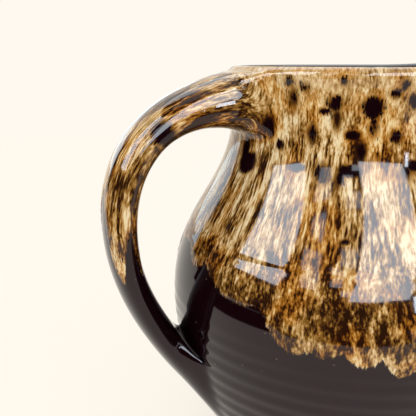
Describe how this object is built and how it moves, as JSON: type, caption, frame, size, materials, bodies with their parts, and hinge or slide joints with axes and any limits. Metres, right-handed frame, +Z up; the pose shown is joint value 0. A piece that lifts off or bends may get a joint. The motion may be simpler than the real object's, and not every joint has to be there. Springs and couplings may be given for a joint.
{
  "type": "clay jug",
  "caption": "Wheel-thrown pottery jug with a pulled strap handle, a finger-drawn pouring lip and a dipped, dripping glaze.",
  "frame": {"origin": "centre of the flat base that the jug stands on", "axes": "+Z up along the axis it was thrown on, -X towards the handle, +X towards the pouring lip, XZ the plane of symmetry of its form"},
  "size_m": [0.191, 0.1596, 0.1784],
  "materials": {
    "clay": "fired buff stoneware, bare and matte, with fine grog",
    "slip": "fired joining slip, matte",
    "lining_glaze": "glossy dark brown liner glaze",
    "dark_glaze": "glossy brown-black glaze with tiny pale specks",
    "streaked_glaze": "glossy amber and tan glaze, streaked and run into drips"
  },
  "bodies": {
    "root": {"thrown_body": "clay", "pulled_handle": "clay", "upper_slip": "slip", "lower_slip": "slip", "upper_coil": "clay", "lower_coil": "clay", "lining_glaze": "lining_glaze", "dark_glaze": "dark_glaze", "streaked_glaze": "streaked_glaze"}
  },
  "joints": []
}
